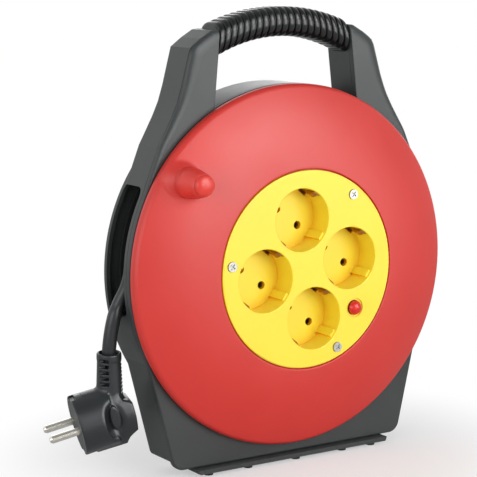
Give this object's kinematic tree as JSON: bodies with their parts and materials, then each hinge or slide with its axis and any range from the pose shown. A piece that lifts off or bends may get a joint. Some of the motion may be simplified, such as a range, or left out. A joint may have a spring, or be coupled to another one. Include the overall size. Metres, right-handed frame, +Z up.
{
  "type": "extension cord reel",
  "caption": "Hand-carried cord reel: flat housing with arched ribbed grip, domed cranked drum with earthed sockets in a plate, reset button, side cord slot and angled plug.",
  "frame": {"origin": "centre of the underside of the feet, below the drum axis", "axes": "+X to the right seen from the socket side, -Y is the socket side, +Z up; the drum turns about Y at a height of 126.2 mm"},
  "size_m": [0.2741, 0.0804, 0.2879],
  "materials": {
    "housing_plastic": "fine-textured moulded black-grey polypropylene",
    "grip_rubber": "satin soft ribbed sleeve",
    "pad_rubber": "matt",
    "zinc_steel": "zinc plated",
    "cord_sheath": "satin sheath",
    "red_plastic": "semi-gloss moulded",
    "knob_red": "semi-gloss moulded",
    "button_red": "glossy",
    "yellow_plastic": "semi-gloss moulded",
    "core_plastic": "moulded",
    "cutout_plastic": "moulded",
    "bush_plastic": "natural acetal",
    "brass": "stamped",
    "nickel": "nickel plated",
    "insulation_blue": "extruded",
    "insulation_brown": "extruded",
    "insulation_green_yellow": "extruded",
    "plug_rubber": "satin moulded",
    "insert_plastic": "moulded"
  },
  "bodies": {
    "housing": {"front_housing": "housing_plastic", "rear_housing": "housing_plastic", "handle_grip_sleeve": "grip_rubber", "handle_core": "housing_plastic", "base_foot": "housing_plastic", "foot_pads": "pad_rubber", "foot_screws": "zinc_steel", "housing_screws": "zinc_steel", "spindle_washer": "zinc_steel", "spindle_screw": "zinc_steel", "cord_outlet_run": "cord_sheath"},
    "drum": {"drum_front_disc": "red_plastic", "drum_core": "core_plastic", "hub_bush": "bush_plastic", "socket_plate": "yellow_plastic", "socket_plate_screws": "zinc_steel", "drum_join_screws": "zinc_steel", "line_busbar": "brass", "neutral_busbar": "brass", "earth_clips": "nickel", "earth_bar": "brass", "contact_carrier": "core_plastic", "contact_carrier_screws": "zinc_steel", "thermal_cutout": "cutout_plastic", "knob_pin": "knob_red", "wound_cord": "cord_sheath", "cord_clamp": "core_plastic", "cord_clamp_screws": "zinc_steel", "wire_blue": "insulation_blue", "wire_brown": "insulation_brown", "wire_green_yellow": "insulation_green_yellow", "wire_link": "insulation_brown"},
    "knob": {"crank_knob": "knob_red"},
    "button": {"reset_button": "button_red"},
    "cord_end": {"cord_tail": "cord_sheath"},
    "plug": {"plug_body": "plug_rubber", "plug_face_insert": "insert_plastic", "plug_pins": "nickel", "plug_earth_strips": "nickel"}
  },
  "joints": [
    {"name": "drum_spin", "type": "hinge", "parent": "housing", "child": "drum", "pos_m": [0, 0, 0.1262], "axis": [0, 1, 0], "continuous": true},
    {"name": "knob_spin", "type": "hinge", "parent": "drum", "child": "knob", "pos_m": [-0.08007, 0, 0.1861], "axis": [0, 1, 0], "continuous": true},
    {"name": "reset_press", "type": "slide", "parent": "drum", "child": "button", "axis": [0, 1, 0], "range_m": [0, 0.002], "stiffness_N_per_m": 600},
    {"name": "cord_swing", "type": "hinge", "parent": "housing", "child": "cord_end", "pos_m": [-0.1141, 0.0004, 0.111], "axis": [0, 1, 0], "range_deg": [-1, 35]},
    {"name": "plug_swing", "type": "hinge", "parent": "cord_end", "child": "plug", "pos_m": [-0.11987, 0.00296, 0.07566], "axis": [0, 1, 0], "range_deg": [-6, 12]}
  ]
}
